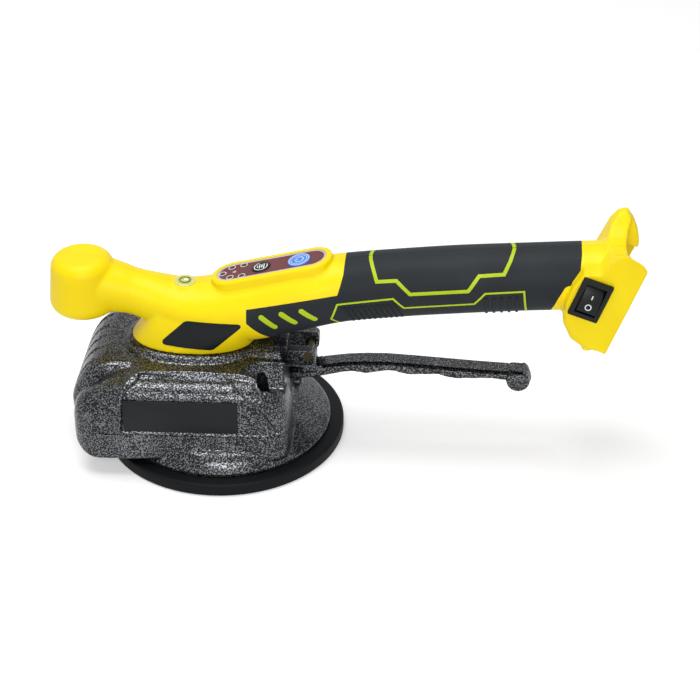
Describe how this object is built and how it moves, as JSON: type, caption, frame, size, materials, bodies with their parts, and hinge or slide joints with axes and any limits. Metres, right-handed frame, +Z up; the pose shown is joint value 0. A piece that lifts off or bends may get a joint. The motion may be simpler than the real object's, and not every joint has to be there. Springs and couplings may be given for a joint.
{
  "type": "cordless tile vibrator",
  "caption": "Hand-held cordless tile vibrator with a rubber suction pad under a cast vibrating body, a squeeze lever that lets the suction go, and a knobbed handle with a battery foot.",
  "frame": {"origin": "centre of the suction pad's underside, on the surface that the tool stands on", "axes": "+X towards the battery foot, +Z up, Y across with the rocker switch on the -Y side"},
  "size_m": [0.2877, 0.12, 0.1217],
  "materials": {
    "pad_rubber": "matt black rubber",
    "zinc_steel": "zinc plated steel",
    "motor_steel": "plain drawn steel",
    "hammer_tone_casting": "die casting with silver and black hammer-tone paint",
    "yellow_zinc_steel": "yellow passivated zinc",
    "black_plastic": "black polyamide",
    "ferrite": "ferrite",
    "copper_winding": "enamelled copper on a steel core",
    "yellow_abs": "yellow ABS",
    "black_tpe": "black soft elastomer",
    "vial_acrylic": "clear acrylic with yellow-green liquid",
    "panel_film": "maroon printed film, left bare of words",
    "lens_plastic": "clear light guides",
    "blue_plastic": "blue translucent cap",
    "board_green": "green circuit board",
    "contact_brass": "plain brass",
    "red_lead": "red PVC",
    "blue_lead": "blue PVC"
  },
  "bodies": {
    "body": {"suction_pad": "pad_rubber", "return_spring": "zinc_steel", "base_casting": "hammer_tone_casting", "upper_housing": "hammer_tone_casting", "housing_screws": "zinc_steel", "lever_pin": "yellow_zinc_steel", "lever_pin_nut": "yellow_zinc_steel", "motor_can": "motor_steel", "motor_end_caps": "black_plastic", "motor_magnets": "ferrite", "motor_bearings": "motor_steel", "motor_clamps": "zinc_steel", "clamp_screws": "zinc_steel", "handle_shell_near": "yellow_abs", "handle_shell_far": "yellow_abs", "grip_near": "black_tpe", "grip_far": "black_tpe", "shell_screws": "zinc_steel", "handle_screws": "zinc_steel", "level_vial": "vial_acrylic", "control_pod": "yellow_abs", "panel_overlay": "panel_film", "led_lenses": "lens_plastic", "control_board": "board_green", "tact_switches": "black_plastic", "rocker_frame": "black_plastic", "rocker_terminals": "contact_brass", "battery_slide": "black_plastic", "terminal_block": "black_plastic", "contact_blades": "contact_brass", "battery_leads": "red_lead", "motor_leads": "blue_lead"},
    "lever": {"release_lever": "hammer_tone_casting"},
    "stud": {"stud_plate": "zinc_steel", "suction_stud": "zinc_steel", "stud_collar": "zinc_steel"},
    "rotor": {"rotor_shaft": "motor_steel", "armature": "copper_winding", "eccentric_near": "motor_steel", "eccentric_far": "motor_steel"},
    "rocker": {"rocker_cap": "black_plastic"},
    "mode_key": {"mode_button": "black_plastic"},
    "power_key": {"power_button": "blue_plastic"}
  },
  "joints": [
    {"name": "lever_squeeze", "type": "hinge", "parent": "body", "child": "lever", "pos_m": [0.0437, 0, 0.05], "axis": [0, -1, 0], "range_deg": [0, 6], "stiffness_Nm_per_rad": 2.5, "springref_deg": -2.86},
    {"name": "stud_slide", "type": "slide", "parent": "body", "child": "stud", "axis": [0, 0, -1], "range_m": [0, 0.0043], "deforming": ["return_spring", "suction_pad"]},
    {"name": "rotor_spin", "type": "hinge", "parent": "body", "child": "rotor", "pos_m": [-0.042, 0, 0.032], "axis": [0, 1, 0], "continuous": true},
    {"name": "rocker_tilt", "type": "hinge", "parent": "body", "child": "rocker", "pos_m": [0.1781, -0.02, 0.0976], "axis": [0.9421, 0, -0.3355], "range_deg": [0, 20]},
    {"name": "mode_press", "type": "slide", "parent": "body", "child": "mode_key", "axis": [0.2487, 0, -0.9686], "range_m": [0, 0.0005], "stiffness_N_per_m": 400},
    {"name": "power_press", "type": "slide", "parent": "body", "child": "power_key", "axis": [0.2487, 0, -0.9686], "range_m": [0, 0.0005], "stiffness_N_per_m": 400}
  ],
  "couplings": [
    {"joint": "stud_slide", "follows": "lever_squeeze", "m_per_rad": 0.041}
  ]
}
